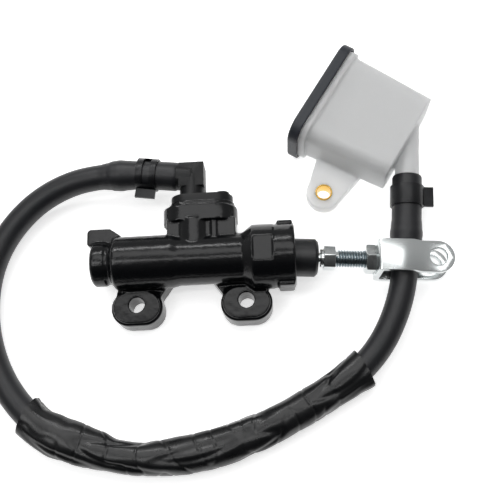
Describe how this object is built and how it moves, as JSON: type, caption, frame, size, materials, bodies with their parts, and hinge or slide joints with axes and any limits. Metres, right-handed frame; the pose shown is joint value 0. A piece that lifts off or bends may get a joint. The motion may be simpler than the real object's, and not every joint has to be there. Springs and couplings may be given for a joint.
{
  "type": "brake master cylinder",
  "caption": "Rear brake master cylinder with ears for two bolts, pushrod and clevis, and a remote fluid reservoir on a hose.",
  "frame": {"origin": "midway between the two mounting holes, on the mounting face", "axes": "+X along the cylinder towards the clevis, +Y towards the reservoir port, +Z out of the mounting face along the mounting bolts"},
  "size_m": [0.2222, 0.1996, 0.0309],
  "materials": {
    "cast_black_paint": "gloss black paint over a sand-textured casting",
    "anodised_aluminium": "turned and clear anodised",
    "seal_rubber": "moulded seal rubber",
    "white_nylon": "moulded natural nylon",
    "spring_steel": "drawn spring steel",
    "zinc_plate": "bright blue-white zinc plate",
    "boot_rubber": "satin moulded rubber",
    "black_nylon": "satin moulded nylon",
    "black_steel": "black phosphated steel",
    "hose_rubber": "satin extruded rubber",
    "sleeve_vinyl": "glossy wrinkled vinyl",
    "clear_white_plastic": "translucent milky polypropylene",
    "brass": "turned brass",
    "cap_plastic": "matte spark-textured plastic"
  },
  "bodies": {
    "cylinder": {"cylinder_body": "cast_black_paint", "return_spring": "spring_steel", "stop_washer": "zinc_plate", "circlip": "spring_steel", "dust_boot": "boot_rubber", "elbow_fitting": "black_nylon", "elbow_seal": "seal_rubber", "port_screw": "black_steel", "reservoir_hose": "hose_rubber", "hose_sleeve": "sleeve_vinyl", "hose_clamp_elbow": "black_steel", "hose_clamp_reservoir": "black_steel", "reservoir_body": "clear_white_plastic", "reservoir_broad_walls": "clear_white_plastic", "reservoir_side_walls": "clear_white_plastic", "reservoir_tab": "clear_white_plastic", "mount_sleeve": "brass"},
    "piston": {"piston": "anodised_aluminium", "primary_cup": "seal_rubber", "secondary_cup": "seal_rubber", "spring_seat": "white_nylon"},
    "pushrod": {"pushrod": "zinc_plate"},
    "jam_nut": {"jam_nut": "zinc_plate"},
    "clevis": {"clevis": "zinc_plate"},
    "diaphragm": {"diaphragm": "seal_rubber", "diaphragm_plate": "white_nylon"},
    "cap": {"reservoir_cap": "cap_plastic", "cap_screws": "zinc_plate"}
  },
  "joints": [
    {"name": "piston_stroke", "type": "slide", "parent": "cylinder", "child": "piston", "axis": [-1, 0, 0], "range_m": [0, 0.01], "stiffness_N_per_m": 1500, "springref_m": -0.005, "deforming": ["return_spring", "dust_boot", "reservoir_hose"]},
    {"name": "pushrod_swing", "type": "hinge", "parent": "piston", "child": "pushrod", "pos_m": [0.0339, 0.019, 0.0155], "axis": [0.0609, -0.0037, 0.9981], "range_deg": [-2, 2], "deforming": ["dust_boot", "reservoir_hose"]},
    {"name": "jam_nut_spin", "type": "hinge", "parent": "pushrod", "child": "jam_nut", "pos_m": [0.08202, 0.01606, 0.01255], "axis": [0.9963, -0.0609, -0.061], "continuous": true},
    {"name": "clevis_turn", "type": "hinge", "parent": "pushrod", "child": "clevis", "pos_m": [0.08561, 0.01584, 0.01233], "axis": [0.9963, -0.0609, -0.061], "range_deg": [-4, 4]},
    {"name": "cap_lift", "type": "slide", "parent": "cylinder", "child": "cap", "axis": [-0.8387, 0.5446, 0], "range_m": [0, 0.06]},
    {"name": "diaphragm_lift", "type": "slide", "parent": "cylinder", "child": "diaphragm", "axis": [-0.8387, 0.5446, 0], "range_m": [0, 0.03]}
  ],
  "couplings": [
    {"joint": "diaphragm_lift", "follows": "cap_lift", "ratio": 0.5}
  ]
}
